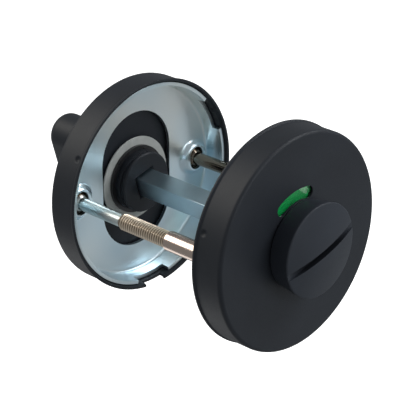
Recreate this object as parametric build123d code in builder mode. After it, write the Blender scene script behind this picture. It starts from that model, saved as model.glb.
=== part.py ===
from build123d import *
from math import asin, cos, degrees, radians, sin, sqrt
import os

# Bathroom thumb turn lock: an inside rose with a thumb turn and an outside rose with a coin
# release and an indicator window, joined through the door by a spindle and two bolts.
# Y is the spindle's axis, with the outside of the door towards -Y and the inside towards +Y.
# Z is up. The origin lies on the spindle's axis, in the middle of the door's thickness.
# All sizes are in millimetres. Angles are in degrees, counted anticlockwise from +X as seen
# from the outside of the door.

# Door and roses
door_thickness = 37.6
rose_radius = 26.0
rim_flare = 0.35
rim_height = 0.9
cover_sheet = 0.6
cut_overrun = 1.0
face_edge_radius = 0.9
cover_depth = 8.0
outside_cover_turn = 10.5

# Snap dimples that hold each cover on its base plate
dimple_count = 3
first_dimple_angle = 30.0
dimple_ball_radius = 1.0
dimple_depth = 0.55
bump_sheet = 0.4
dimple_height = 1.8

# Slot in the inside cover's rim for prising it off
prise_slot_angle = 270.0
prise_slot_width = 6.2
prise_slot_depth = 1.7

# Base plates
plate_sheet = 0.9
plate_clearance = 0.1
plate_wall_taper = 0.45
plate_lip_setback = 0.7
plate_bend_radius = 0.7
inside_floor_depth = 5.95
outside_floor_depth = 3.8
opening_width = 22.0
opening_length = 34.0
plate_notch_angle = 24.0
notch_margin = 0.1

# Through bolts and their sleeves
bolt_pitch = 38.0
bolt_hole_width = 4.3
bolt_hole_length = 5.8
screw_length = 40.0
head_diameter = 7.5
head_rim = 0.25
head_setback = 0.1
head_seat_gap = 0.05
shank_diameter = 3.1
thread_diameter = 3.9
thread_depth = 0.36
thread_start = 9.7
tip_chamfer = 0.5
recess_width = 1.0
recess_span = 4.0
recess_depth = 1.5
recess_taper = 8.0
sleeve_diameter = 4.6
sleeve_end = -5.0
sleeve_chamfer = 0.4
sleeve_play = 0.03
sleeve_head_diameter = 6.6
sleeve_head_height = 0.8
seat_rim = 0.35
seat_end_rim = 0.45
seat_cone_height = 1.4
seat_cone_edge_radius = 0.5

# Spindle and its sockets
spindle_side = 5.0
spindle_edge_radius = 0.25
spindle_end_chamfer = 0.2
spindle_in_turn = 16.0
spindle_in_button = 6.6
socket_play = 0.12
socket_chamfer = 0.45
socket_end_gap = 0.5

# Necks of the two parts that turn
set_angle = 15.5
neck_radius = 7.4
neck_play = 0.06
neck_chamfer = 0.3
neck_end_depth = 2.6
end_groove_setback = 0.7
end_groove_width = 0.7
end_groove_depth = 0.3
turn_gap = 0.35

# Bearing bushes, curved spring washers, flat washer and circlips on the necks
bush_wall = 0.8
bush_play = 0.02
bush_flange_width = 1.15
bush_flange_height = 0.3
spring_height = 0.35
spring_sheet = 0.18
spring_gap = 0.03
spring_width = 1.6
washer_clearance = 0.65
washer_height = 0.4
circlip_height = 0.8
circlip_width = 1.5
circlip_gap_angle = 40.0
groove_depth = 0.6
groove_play = 0.04

# Thumb turn
collar_radius = 9.4
collar_height = 1.6
collar_edge_radius = 0.4
bar_length = 22.5
bar_width = 10.3
bar_reach = 22.4
bar_end_radius = 2.5

# Release button
button_base_radius = 10.3
button_rim_radius = 11.1
button_rim_height = 5.8
button_dome_height = 1.45
button_edge_radius = 0.4
coin_slot_width = 1.6

# Indicator disc and window
window_radius = 11.7
window_width = 3.0
window_angle = 58.0
lens_play = 0.03
lens_recess = 0.15
lens_flange_width = 0.55
lens_flange_height = 0.5
disc_radius = 14.2
disc_height = 0.7
disc_key_width = 1.6
disc_key_depth = 0.7
disc_play = 0.03

# Places worked out from the sizes above
half_door = door_thickness / 2
inside_face = half_door + cover_depth
outside_face = -half_door - cover_depth
inside_neck_end = half_door + neck_end_depth
outside_neck_end = -half_door - neck_end_depth
cover_wall_radius = rose_radius - rim_flare
cover_inner_radius = cover_wall_radius - cover_sheet
neck_bore_radius = neck_radius + neck_play
bush_radius = neck_bore_radius + bush_wall
cover_hole_radius = bush_radius + bush_play
groove_radius = neck_radius - groove_depth
spring_depth = cover_sheet + bush_flange_height + spring_height
washer_seat = inside_face - spring_depth
disc_seat = outside_face + spring_depth
washer_radius = opening_width / 2 - washer_clearance
turn_circlip_seat = washer_seat - washer_height
button_circlip_seat = disc_seat + disc_height

# Snap dimples: the balls that press them stand outside the wall, by less than their radius
dimple_step = 360 / dimple_count
dimple_reach = cover_wall_radius + dimple_ball_radius - dimple_depth
bump_ball_radius = dimple_ball_radius + bump_sheet
bump_radius = sqrt(bump_ball_radius ** 2 - (dimple_reach - cover_inner_radius) ** 2)

# Base plates
plate_lip_radius = cover_inner_radius - plate_clearance
plate_floor_radius = plate_lip_radius - plate_wall_taper
inside_floor = half_door + inside_floor_depth
inside_floor_back = inside_floor + plate_sheet
outside_floor = -half_door - outside_floor_depth
outside_floor_back = outside_floor - plate_sheet

# Window: a slot along an arc, whose round ends are part of its angle
window_end_angle = degrees(asin(window_width / 2 / window_radius))
window_arc_angle = window_angle - 2 * window_end_angle
window_start = 90 + outside_cover_turn - window_arc_angle / 2


def facing_out(y, angle=0.0):
    """Plane across the spindle's axis at y, seen from the outside and turned by an angle."""
    across = (cos(radians(angle)), 0, sin(radians(angle)))
    return Plane(origin=(0, y, 0), x_dir=across, z_dir=(0, -1, 0))


def half_section(points, rounded=()):
    """Half section (radius, y) of a round piece; rounded lists (radius, y, fillet)."""
    with BuildSketch(Plane.XY) as section:
        with BuildLine():
            Polyline(*points, close=True)
        make_face()
        for radius, y, size in rounded:
            fillet(section.vertices().sort_by_distance((radius, y))[0], radius=size)
    return section.sketch


def wall_sector(middle, span):
    """Flat sector over a base plate's wall, centred on the middle angle."""
    inner = plate_floor_radius - plate_sheet
    with BuildSketch() as sector:
        with BuildLine():
            near = CenterArc((0, 0), inner, middle - span / 2, span)
            far = CenterArc((0, 0), rose_radius, middle - span / 2, span)
            Line(near @ 0, far @ 0)
            Line(near @ 1, far @ 1)
        make_face()
    return sector.sketch


def window_slot(width):
    """Flat slot of a width along the window's arc, with round ends."""
    with BuildSketch() as slot:
        with BuildLine():
            CenterArc((0, 0), window_radius, window_start, window_arc_angle)
            offset(amount=width / 2)
        make_face()
    return slot.sketch


def dimple_balls(ball_radius, y, turn, count):
    """One ball on the cover's wall for each of the first snap dimples."""
    with BuildPart() as balls:
        with Locations(facing_out(y, first_dimple_angle + turn)):
            with PolarLocations(dimple_reach, count, angular_range=count * dimple_step):
                Sphere(ball_radius)
    return balls.part


def cover_hollow(side, turn, count):
    """Inside of a cover, short of the bumps that the dimples raise on its inner wall."""
    rim = side * half_door
    inner_face = rim + side * (cover_depth - cover_sheet)
    section = half_section([
        (0, rim),
        (rose_radius - cover_sheet, rim),
        (cover_inner_radius, rim + side * rim_height),
        (cover_inner_radius, inner_face),
        (0, inner_face),
    ])
    with BuildPart() as hollow:
        revolve(section, axis=Axis.Y)
        bumps = dimple_balls(bump_ball_radius, rim + side * dimple_height, turn, count)
        add(bumps, mode=Mode.SUBTRACT)
    return hollow.part


def cover_shell(side, turn, count):
    """Pressed round cover with a flared rim, snap dimples and the neck's hole."""
    rim = side * half_door
    face = rim + side * cover_depth
    section = half_section([
        (0, rim),
        (rose_radius, rim),
        (rose_radius, rim + side * rim_height / 2),
        (cover_wall_radius, rim + side * rim_height),
        (cover_wall_radius, face),
        (0, face),
    ], [(cover_wall_radius, face, face_edge_radius)])
    with BuildPart() as shell:
        revolve(section, axis=Axis.Y)
        dimples = dimple_balls(dimple_ball_radius, rim + side * dimple_height, turn, count)
        add(dimples, mode=Mode.SUBTRACT)
        add(cover_hollow(side, turn, count), mode=Mode.SUBTRACT)
        with BuildSketch(facing_out(face)):
            Circle(cover_hole_radius)
        extrude(amount=cover_sheet + cut_overrun, both=True, mode=Mode.SUBTRACT)
    return shell.part


def base_pan(side, floor_depth):
    """Pressed base plate: a shallow pan with its opening and three notches in the wall."""
    rim = side * half_door
    floor = rim + side * floor_depth
    back = floor + side * plate_sheet
    lip = rim + side * plate_lip_setback
    notch_end = dimple_height + bump_radius + notch_margin
    section = half_section([
        (0, floor),
        (plate_floor_radius - plate_sheet, floor),
        (plate_lip_radius - plate_sheet, lip),
        (plate_lip_radius, lip),
        (plate_floor_radius, back),
        (0, back),
    ], [
        (plate_floor_radius, back, plate_bend_radius + plate_sheet),
        (plate_floor_radius - plate_sheet, floor, plate_bend_radius),
    ])
    with BuildPart() as pan:
        revolve(section, axis=Axis.Y)
        with BuildSketch(facing_out(floor)):
            SlotOverall(opening_length, opening_width, rotation=90)
        extrude(amount=plate_sheet + cut_overrun, both=True, mode=Mode.SUBTRACT)
        with BuildSketch(facing_out(rim)):
            for index in range(dimple_count):
                add(wall_sector(first_dimple_angle + index * dimple_step, plate_notch_angle))
        extrude(amount=-side * notch_end, mode=Mode.SUBTRACT)
    return pan.part


def flanged_bush(side, face):
    """Moulded bush in a cover's hole, with its flange on the cover's inner face."""
    inner_face = face - side * cover_sheet
    end = inner_face - side * bush_flange_height
    section = half_section([
        (neck_bore_radius, face),
        (bush_radius, face),
        (bush_radius, inner_face),
        (bush_radius + bush_flange_width, inner_face),
        (bush_radius + bush_flange_width, end),
        (neck_bore_radius, end),
    ])
    with BuildPart() as bush:
        revolve(section, axis=Axis.Y)
    return bush.part


def curved_washer(side, seat):
    """Curved spring ring, pressed between its seat and the bush's flange."""
    outer = neck_bore_radius + spring_width
    low = seat + side * spring_gap
    high = seat + side * (spring_height - spring_gap)
    sheet = side * spring_sheet
    with BuildPart() as ring:
        with BuildSketch(facing_out(low)):
            Circle(outer)
            Circle(neck_bore_radius, mode=Mode.SUBTRACT)
        extrude(amount=low - high)
        with BuildSketch(Plane.YZ):
            with BuildLine():
                near = ThreePointArc((low, -outer), (high - sheet, 0), (low, outer))
                far = ThreePointArc((low + sheet, -outer), (high, 0), (low + sheet, outer))
                Line(near @ 0, far @ 0)
                Line(near @ 1, far @ 1)
            make_face()
        extrude(amount=outer, both=True, mode=Mode.INTERSECT)
    return ring.part


def snap_ring(side, seat):
    """Circlip in a neck's groove, open below, holding what lies at its seat."""
    with BuildPart() as ring:
        with BuildSketch(facing_out(seat, set_angle)):
            Circle(groove_radius + groove_play + circlip_width)
            Circle(groove_radius + groove_play, mode=Mode.SUBTRACT)
            with BuildLine():
                start = 270 - circlip_gap_angle / 2
                edge = CenterArc((0, 0), 2 * neck_radius, start, circlip_gap_angle)
                Line(edge @ 0, (0, 0))
                Line(edge @ 1, (0, 0))
            make_face(mode=Mode.SUBTRACT)
        extrude(amount=side * circlip_height)
    return ring.part


def neck_points(side, end, seat, shoulder):
    """Points (radius, y) of a neck, from its end past both grooves to its shoulder."""
    groove_end = seat - side * (circlip_height + groove_play)
    end_groove = end + side * end_groove_setback
    end_groove_floor = neck_radius - end_groove_depth
    return [
        (0, end),
        (neck_radius - neck_chamfer, end),
        (neck_radius, end + side * neck_chamfer),
        (neck_radius, end_groove),
        (end_groove_floor, end_groove),
        (end_groove_floor, end_groove + side * end_groove_width),
        (neck_radius, end_groove + side * end_groove_width),
        (neck_radius, groove_end),
        (groove_radius, groove_end),
        (groove_radius, seat),
        (neck_radius, seat),
        (neck_radius, shoulder),
    ]


# Inside cover, whose prising slot takes the place of the last dimple
with BuildPart() as inside_cover:
    add(cover_shell(1, 0, dimple_count - 1))
    with BuildSketch(facing_out(half_door, prise_slot_angle)):
        with Locations((rose_radius, 0)):
            Rectangle(2 * (rose_radius - cover_inner_radius) + cover_sheet, prise_slot_width)
    extrude(amount=-prise_slot_depth, mode=Mode.SUBTRACT)
inside_cover.part.label = "inside_cover"

# Outside cover, with the indicator's window
with BuildPart() as outside_cover:
    add(cover_shell(-1, outside_cover_turn, dimple_count))
    with BuildSketch(facing_out(outside_face)):
        add(window_slot(window_width))
    extrude(amount=cover_sheet + cut_overrun, both=True, mode=Mode.SUBTRACT)
outside_cover.part.label = "outside_cover"

# Inside base plate: its bolt holes are slots in cone seats pressed towards the door
seat_end = inside_floor - seat_cone_height
head_top = inside_floor_back - head_setback
seat_radius = head_diameter / 2 + head_rim + head_setback + head_seat_gap
seat_end_radius = bolt_hole_length / 2 + seat_end_rim
seat_section = half_section([
    (0, inside_floor),
    (seat_radius + seat_rim, inside_floor),
    (seat_end_radius, seat_end),
    (0, seat_end),
], [(seat_end_radius, seat_end, seat_cone_edge_radius)])
sink_section = half_section([
    (0, inside_floor_back),
    (seat_radius, inside_floor_back),
    (0, inside_floor_back - seat_radius),
])
with BuildPart() as cone_seat:
    revolve(seat_section, axis=Axis.Y)
with BuildPart() as sink:
    revolve(sink_section, axis=Axis.Y)
with BuildPart() as inside_base_plate:
    add(base_pan(1, inside_floor_depth))
    with Locations((-bolt_pitch / 2, 0, 0), (bolt_pitch / 2, 0, 0)):
        add(cone_seat.part)
        add(sink.part, mode=Mode.SUBTRACT)
    with BuildSketch(facing_out(inside_floor)):
        with GridLocations(bolt_pitch, 0, 2, 1):
            SlotOverall(bolt_hole_length, bolt_hole_width, rotation=90)
    extrude(amount=seat_cone_height + cut_overrun, both=True, mode=Mode.SUBTRACT)
inside_base_plate.part.label = "inside_base_plate"

# Outside base plate: plain round holes that carry the sleeves
with BuildPart() as outside_base_plate:
    add(base_pan(-1, outside_floor_depth))
    with BuildSketch(facing_out(outside_floor)):
        with GridLocations(bolt_pitch, 0, 2, 1):
            Circle(sleeve_diameter / 2 + sleeve_play)
    extrude(amount=plate_sheet + cut_overrun, both=True, mode=Mode.SUBTRACT)
outside_base_plate.part.label = "outside_base_plate"

# Screw: countersunk head, plain shank and thread. Inside the sleeve, where the threads mesh,
# screw and sleeve are both drawn at the middle of the thread.
mesh_radius = (thread_diameter - thread_depth) / 2
screw_tip = head_top - screw_length
screw_section = half_section([
    (0, head_top),
    (head_diameter / 2, head_top),
    (head_diameter / 2, head_top - head_rim),
    (shank_diameter / 2, head_top - head_rim - (head_diameter - shank_diameter) / 2),
    (shank_diameter / 2, thread_start),
    (thread_diameter / 2, thread_start),
    (thread_diameter / 2, sleeve_end),
    (mesh_radius, sleeve_end),
    (mesh_radius, screw_tip + tip_chamfer),
    (mesh_radius - tip_chamfer, screw_tip),
    (0, screw_tip),
])
with BuildPart() as screw:
    revolve(screw_section, axis=Axis.Y)
    with BuildSketch(facing_out(head_top)):
        Rectangle(recess_span, recess_width)
        Rectangle(recess_width, recess_span)
    extrude(amount=recess_depth, taper=recess_taper, mode=Mode.SUBTRACT)

with BuildPart() as left_screw:
    with Locations((-bolt_pitch / 2, 0, 0)):
        add(screw.part)
left_screw.part.label = "left_screw"

with BuildPart() as right_screw:
    with Locations((bolt_pitch / 2, 0, 0)):
        add(screw.part)
right_screw.part.label = "right_screw"

# Threaded sleeve, riveted in the outside base plate with its head under the cover
sleeve_radius = sleeve_diameter / 2
sleeve_bore_radius = mesh_radius + sleeve_play
sleeve_section = half_section([
    (sleeve_bore_radius, sleeve_end),
    (sleeve_radius - sleeve_chamfer, sleeve_end),
    (sleeve_radius, sleeve_end - sleeve_chamfer),
    (sleeve_radius, outside_floor_back),
    (sleeve_head_diameter / 2, outside_floor_back),
    (sleeve_head_diameter / 2, outside_floor_back - sleeve_head_height),
    (sleeve_bore_radius, outside_floor_back - sleeve_head_height),
])
with BuildPart() as sleeve:
    revolve(sleeve_section, axis=Axis.Y)

with BuildPart() as left_sleeve:
    with Locations((-bolt_pitch / 2, 0, 0)):
        add(sleeve.part)
left_sleeve.part.label = "left_sleeve"

with BuildPart() as right_sleeve:
    with Locations((bolt_pitch / 2, 0, 0)):
        add(sleeve.part)
right_sleeve.part.label = "right_sleeve"

# Thumb turn: a neck with a square socket, a round collar and a rounded bar to grip
socket_side = spindle_side + 2 * socket_play
collar_start = inside_face + turn_gap
collar_end = collar_start + collar_height
turn_section = half_section([
    *neck_points(1, inside_neck_end, turn_circlip_seat, collar_start),
    (collar_radius, collar_start),
    (collar_radius, collar_end),
    (0, collar_end),
], [(collar_radius, collar_end, collar_edge_radius)])
with BuildPart() as thumb_turn:
    revolve(turn_section, axis=Axis.Y)
    with BuildSketch(facing_out(collar_end, set_angle)):
        SlotOverall(bar_length, bar_width, rotation=90)
    extrude(amount=collar_end - inside_face - bar_reach)
    fillet(thumb_turn.faces().sort_by(Axis.Y)[-1].edges(), radius=bar_end_radius)
    with BuildSketch(facing_out(inside_neck_end, set_angle)):
        Rectangle(socket_side, socket_side)
    extrude(amount=-spindle_in_turn - socket_end_gap, mode=Mode.SUBTRACT)
    mouth = thumb_turn.edges().group_by(Axis.Y)[0].filter_by(GeomType.LINE)
    chamfer(mouth, length=socket_chamfer)
thumb_turn.part.label = "thumb_turn"

# Release button: a neck with a square socket and a keyway, and a domed head with a coin slot
button_base = outside_face - turn_gap
button_rim = outside_face - button_rim_height
button_top = button_rim - button_dome_height
with BuildPart() as release_button:
    with BuildSketch(Plane.XY) as button_section:
        with BuildLine():
            Polyline(
                *neck_points(-1, outside_neck_end, button_circlip_seat, button_base),
                (button_base_radius, button_base),
                (button_rim_radius, button_rim),
            )
            RadiusArc(
                (button_rim_radius, button_rim),
                (0, button_top),
                (button_rim_radius ** 2 + button_dome_height ** 2) / (2 * button_dome_height),
            )
            Line((0, button_top), (0, outside_neck_end))
        make_face()
        rim_corner = button_section.vertices().sort_by_distance((button_rim_radius, button_rim))[0]
        fillet(rim_corner, radius=button_edge_radius)
    revolve(axis=Axis.Y)
    with BuildSketch(facing_out(button_rim, set_angle)):
        Rectangle(2 * rose_radius, coin_slot_width)
    extrude(amount=2 * button_dome_height, mode=Mode.SUBTRACT)
    with BuildSketch(facing_out(outside_neck_end, set_angle)):
        Rectangle(socket_side, socket_side)
    extrude(amount=spindle_in_button + socket_end_gap, mode=Mode.SUBTRACT)
    mouth = release_button.edges().group_by(Axis.Y)[-1].filter_by(GeomType.LINE)
    chamfer(mouth, length=socket_chamfer)
    with BuildSketch(facing_out(outside_neck_end, set_angle)):
        with Locations((0, -neck_radius)):
            Rectangle(disc_key_width + 2 * disc_play, 2 * (disc_key_depth + disc_play))
    extrude(amount=outside_neck_end - disc_seat, mode=Mode.SUBTRACT)
release_button.part.label = "release_button"

# Spindle: a square bar that ends in the two sockets
with BuildPart() as spindle:
    with BuildSketch(facing_out(inside_neck_end + spindle_in_turn, set_angle)):
        RectangleRounded(spindle_side, spindle_side, spindle_edge_radius)
    extrude(amount=inside_neck_end - outside_neck_end + spindle_in_turn + spindle_in_button)
    chamfer(spindle.faces().sort_by(Axis.Y)[0].edges(), length=spindle_end_chamfer)
    chamfer(spindle.faces().sort_by(Axis.Y)[-1].edges(), length=spindle_end_chamfer)
spindle.part.label = "spindle"

# What holds the thumb turn in its cover
with BuildPart() as turn_bush:
    add(flanged_bush(1, inside_face))
turn_bush.part.label = "turn_bush"

with BuildPart() as turn_spring_washer:
    add(curved_washer(1, washer_seat))
turn_spring_washer.part.label = "turn_spring_washer"

with BuildPart() as turn_washer:
    with BuildSketch(facing_out(washer_seat)):
        Circle(washer_radius)
        Circle(neck_bore_radius, mode=Mode.SUBTRACT)
    extrude(amount=washer_height)
turn_washer.part.label = "turn_washer"

with BuildPart() as turn_circlip:
    add(snap_ring(1, turn_circlip_seat))
turn_circlip.part.label = "turn_circlip"

# What holds the release button in its cover
with BuildPart() as button_bush:
    add(flanged_bush(-1, outside_face))
button_bush.part.label = "button_bush"

with BuildPart() as button_spring_washer:
    add(curved_washer(-1, disc_seat))
button_spring_washer.part.label = "button_spring_washer"

with BuildPart() as button_circlip:
    add(snap_ring(-1, button_circlip_seat))
button_circlip.part.label = "button_circlip"

# Indicator disc, keyed to the release button's neck
with BuildPart() as indicator_disc:
    with BuildSketch(facing_out(button_circlip_seat, set_angle)):
        Circle(disc_radius)
        Circle(neck_radius + disc_play, mode=Mode.SUBTRACT)
        with Locations((0, -neck_radius)):
            Rectangle(disc_key_width, 2 * disc_key_depth)
    extrude(amount=disc_height)
indicator_disc.part.label = "indicator_disc"

# Window lens: a clear body in the cover's window, with a flange behind the cover
lens_front = outside_face + lens_recess
lens_shoulder = outside_face + cover_sheet
with BuildPart() as window_lens:
    with BuildSketch(facing_out(lens_shoulder)):
        add(window_slot(window_width - 2 * lens_play))
    extrude(amount=lens_shoulder - lens_front)
    with BuildSketch(facing_out(lens_shoulder)):
        add(window_slot(window_width + 2 * lens_flange_width))
    extrude(amount=-lens_flange_height)
window_lens.part.label = "window_lens"

pieces = [
    inside_cover,
    inside_base_plate,
    thumb_turn,
    turn_bush,
    turn_spring_washer,
    turn_washer,
    turn_circlip,
    spindle,
    left_screw,
    right_screw,
    left_sleeve,
    right_sleeve,
    outside_base_plate,
    outside_cover,
    window_lens,
    indicator_disc,
    release_button,
    button_bush,
    button_spring_washer,
    button_circlip,
]
os.makedirs("parts", exist_ok=True)
for piece in pieces:
    export_step(piece.part, f"parts/{piece.part.label}.step")
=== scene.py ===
from math import atan2, cos, hypot, pi, radians, sin, sqrt, tan

import bmesh
import bpy
from mathutils import Matrix, Vector


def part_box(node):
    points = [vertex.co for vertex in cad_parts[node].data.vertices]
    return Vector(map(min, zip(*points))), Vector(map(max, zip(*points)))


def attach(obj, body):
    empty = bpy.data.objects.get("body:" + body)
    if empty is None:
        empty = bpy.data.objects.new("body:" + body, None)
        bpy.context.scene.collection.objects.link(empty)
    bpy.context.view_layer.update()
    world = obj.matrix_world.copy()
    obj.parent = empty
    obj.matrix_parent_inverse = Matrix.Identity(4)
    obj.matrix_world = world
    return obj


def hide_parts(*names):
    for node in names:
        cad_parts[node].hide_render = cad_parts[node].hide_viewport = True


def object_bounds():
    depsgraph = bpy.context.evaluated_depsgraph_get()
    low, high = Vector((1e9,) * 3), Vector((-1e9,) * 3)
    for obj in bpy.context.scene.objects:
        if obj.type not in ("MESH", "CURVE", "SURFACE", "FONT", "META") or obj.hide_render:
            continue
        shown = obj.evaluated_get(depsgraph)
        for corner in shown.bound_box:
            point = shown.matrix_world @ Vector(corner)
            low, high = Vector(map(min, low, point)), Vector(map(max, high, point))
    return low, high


bl_info = {
    "name": "Bathroom Thumb Turn Lock",
    "version": (1, 0, 0),
    "blender": (4, 5, 0),
    "location": "View3D > Sidebar > Lock",
    "description": "Models and finishes a bathroom thumb turn lock around its packed frame",
    "category": "Object",
}

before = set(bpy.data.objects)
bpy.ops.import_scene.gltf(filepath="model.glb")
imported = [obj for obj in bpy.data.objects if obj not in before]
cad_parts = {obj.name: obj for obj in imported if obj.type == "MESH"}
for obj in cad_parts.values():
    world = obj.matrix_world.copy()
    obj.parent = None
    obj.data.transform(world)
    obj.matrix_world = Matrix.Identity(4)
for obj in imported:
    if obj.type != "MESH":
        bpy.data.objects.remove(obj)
CAD_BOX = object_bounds()

MM = 0.001
TINY = 1e-6
PAST = 1.0 * MM  # How far a cutter reaches past what it cuts
LEVEL = 0.1 * MM  # What counts as no change
EDGE_LIMIT = radians(40)
SHADE_LIMIT = radians(35)
COAT_SHINE = 0.3
CLEAN_ROUGHNESS = 0.285  # Smoother zinc was seen to render with speckled patches
ROSE_STEPS = 288
NECK_STEPS = 192
WASHER_STEPS = 160
SLEEVE_STEPS = 64
SCREW_STEPS = 48

INSIDE_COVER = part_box("inside_cover")
OUTSIDE_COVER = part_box("outside_cover")
INSIDE_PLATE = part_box("inside_base_plate")
OUTSIDE_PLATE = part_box("outside_base_plate")
THUMB_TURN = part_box("thumb_turn")
RELEASE_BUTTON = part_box("release_button")
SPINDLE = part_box("spindle")
LEFT_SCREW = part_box("left_screw")
LEFT_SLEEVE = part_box("left_sleeve")
TURN_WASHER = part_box("turn_washer")
TURN_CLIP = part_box("turn_circlip")
BUTTON_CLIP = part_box("button_circlip")
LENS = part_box("window_lens")


def length(label, text, size):
    """A length property, in metres."""
    return bpy.props.FloatProperty(name=label, description=text, default=size, unit="LENGTH")


def angle(label, text, size):
    """An angle property, given in degrees."""
    return bpy.props.FloatProperty(
        name=label, description=text, default=radians(size), unit="ROTATION", subtype="ANGLE"
    )


def colour(label, text, value):
    """A colour property, in linear light."""
    return bpy.props.FloatVectorProperty(
        name=label, description=text, default=value, size=3, subtype="COLOR", min=0, max=1
    )


class RoseSizes(bpy.types.PropertyGroup):
    """Pressed covers of both roses."""

    radius: length("Rose radius", "Radius of the rim on the door", OUTSIDE_COVER[1].x)
    flare: length("Rim flare", "How far the rim stands out from the wall", 0.35 * MM)
    rim: length("Rim height", "Height of the flared rim", 0.9 * MM)
    sheet: length("Sheet", "Thickness of the pressed sheet", 0.6 * MM)
    face_edge: length("Face edge", "Radius of the edge round the face", 0.9 * MM)
    hole: length("Neck hole", "Radius of the hole for the neck", 8.28 * MM)
    dimple_reach: length("Dimple reach", "Radius of a snap dimple", 0.9 * MM)
    dimple_depth: length("Dimple depth", "Depth of a snap dimple", 0.42 * MM)
    dimple_height: length("Dimple height", "Height of the dimples over the door", 1.8 * MM)
    dimple_angle: angle("First dimple", "Angle of the first dimple from level", 30)
    outside_turn: angle("Cover turn", "How far the outside cover is turned", 10.5)
    prise_width: length("Prising slot", "Width of the slot in the inside rim", 6.2 * MM)
    prise_depth: length("Prising depth", "Depth of the slot in the inside rim", 1.7 * MM)
    prise_reach: length("Prising reach", "How far in the slot reaches", 1.6 * MM)


class PlateSizes(bpy.types.PropertyGroup):
    """Pressed base plates."""

    sheet: length("Sheet", "Thickness of the plate", 0.9 * MM)
    taper: length("Taper", "How much the wall closes in", 0.45 * MM)
    bend: length("Bend", "Inner radius of the bend round the floor", 0.7 * MM)
    opening_width: length("Opening width", "Width of the opening", 22.0 * MM)
    opening_length: length("Opening length", "Length of the opening", 34.0 * MM)
    notch_angle: angle("Notch angle", "Angle that each notch spans", 24)
    notch_height: length("Notch height", "Height of the notches' edge", 2.83 * MM)
    seat_radius: length("Seat radius", "Radius of a screw's pressed cone seat", 4.6 * MM)
    seat_end: length("Seat end", "Radius of the cone seat's flat end", 3.1 * MM)
    seat_height: length("Seat height", "Height of the cone seat", 1.4 * MM)
    sleeve_hole: length("Sleeve hole", "Radius of a sleeve's hole", 2.33 * MM)
    hole_width: length("Hole width", "Width of a bolt's slotted hole", 4.3 * MM)
    hole_length: length("Hole length", "Length of a bolt's slotted hole", 5.8 * MM)


class BoltSizes(bpy.types.PropertyGroup):
    """Screws and sleeves."""

    pitch: length("Bolt pitch", "Distance between the two bolts", 38.0 * MM)
    shank: length("Shank radius", "Radius of the plain shank", 1.55 * MM)
    thread: length("Thread radius", "Outside radius of the thread", 1.95 * MM)
    thread_depth: length("Thread depth", "Depth of the thread", 0.4 * MM)
    thread_pitch: length("Thread pitch", "Distance from turn to turn", 0.7 * MM)
    thread_start: length("Thread start", "Where the thread ends at the shank", 9.7 * MM)
    mesh: length("Mesh radius", "Middle of the thread, inside the sleeve", 1.77 * MM)
    tip_chamfer: length("Tip chamfer", "Chamfer on the screw's tip", 0.5 * MM)
    head_rim: length("Head rim", "Height of a screw head's rim", 0.25 * MM)
    head_shade: length("Head shade", "Depth at which the head turns dark", 2.3 * MM)
    cross_length: length("Cross length", "Length of the cross recess", 4.0 * MM)
    cross_width: length("Cross width", "Width of the cross recess", 1.0 * MM)
    cross_depth: length("Cross depth", "Depth of the cross recess", 1.4 * MM)
    sleeve: length("Sleeve radius", "Outside radius of the sleeves", 2.3 * MM)
    sleeve_bore: length("Sleeve bore", "Radius of the sleeve's bore", 1.8 * MM)
    sleeve_chamfer: length("Sleeve chamfer", "Chamfer on the sleeve's end", 0.4 * MM)
    sleeve_head: length("Sleeve head", "Height of the sleeve's riveted head", 0.8 * MM)


class TurnSizes(bpy.types.PropertyGroup):
    """Thumb turn, release button and spindle."""

    set_angle: angle("Set angle", "How far the turn stands round from upright", 15.5)
    neck: length("Neck radius", "Radius of the two necks", 7.4 * MM)
    groove: length("Groove depth", "Depth of the circlip's groove", 0.6 * MM)
    end_groove: length("End groove", "Depth of the groove near a neck's end", 0.3 * MM)
    end_groove_width: length("End groove width", "Width of that groove", 0.7 * MM)
    end_groove_setback: length("End groove setback", "How far it lies behind the end", 0.7 * MM)
    socket: length("Socket", "Side of the square sockets", 5.24 * MM)
    spindle: length("Spindle", "Side of the square spindle", 5.0 * MM)
    turn_socket: length("Turn socket", "Depth of the thumb turn's socket", 16.5 * MM)
    button_socket: length("Button socket", "Depth of the button's socket", 7.1 * MM)
    socket_chamfer: length("Socket chamfer", "Chamfer round a socket's mouth", 0.45 * MM)
    collar: length("Collar radius", "Radius of the thumb turn's collar", 9.4 * MM)
    collar_height: length("Collar height", "Height of the collar", 1.6 * MM)
    gap: length("Gap", "Gap between a cover's face and what turns on it", 0.35 * MM)
    washer_play: length("Washer play", "Play between the neck and its washer", 0.06 * MM)
    bar_length: length("Bar length", "Length of the bar across its ends", 22.5 * MM)
    bar_width: length("Bar width", "Thickness of the bar", 10.3 * MM)
    bar_edge: length("Bar edge", "Radius of the edge round the bar's end", 2.5 * MM)
    button_base: length("Button base", "Radius of the button at the cover", 10.3 * MM)
    button_rim: length("Button rim", "Radius of the button at its edge", 11.1 * MM)
    button_height: length("Button height", "Height of the button's edge", 5.8 * MM)
    button_dome: length("Button dome", "Height of the dome over that edge", 1.45 * MM)
    button_edge: length("Button edge", "Radius of the button's edge", 0.4 * MM)
    slot_width: length("Coin slot", "Width of the coin slot", 1.6 * MM)


class WindowSizes(bpy.types.PropertyGroup):
    """Indicator window."""

    radius: length("Window radius", "Radius of the window's middle line", 11.7 * MM)
    width: length("Window width", "Width of the window", 3.0 * MM)
    span: angle("Window span", "Angle that the window spans", 58)
    flange: length("Lens flange", "How far the lens reaches behind the cover", 0.55 * MM)
    recess: length("Lens recess", "Depth of the lens under the face", 0.5 * MM)
    play: length("Lens play", "Play between the lens and its window", 0.03 * MM)
    green_turn: angle("Green turn", "Green sector's middle from upright", 18)


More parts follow.
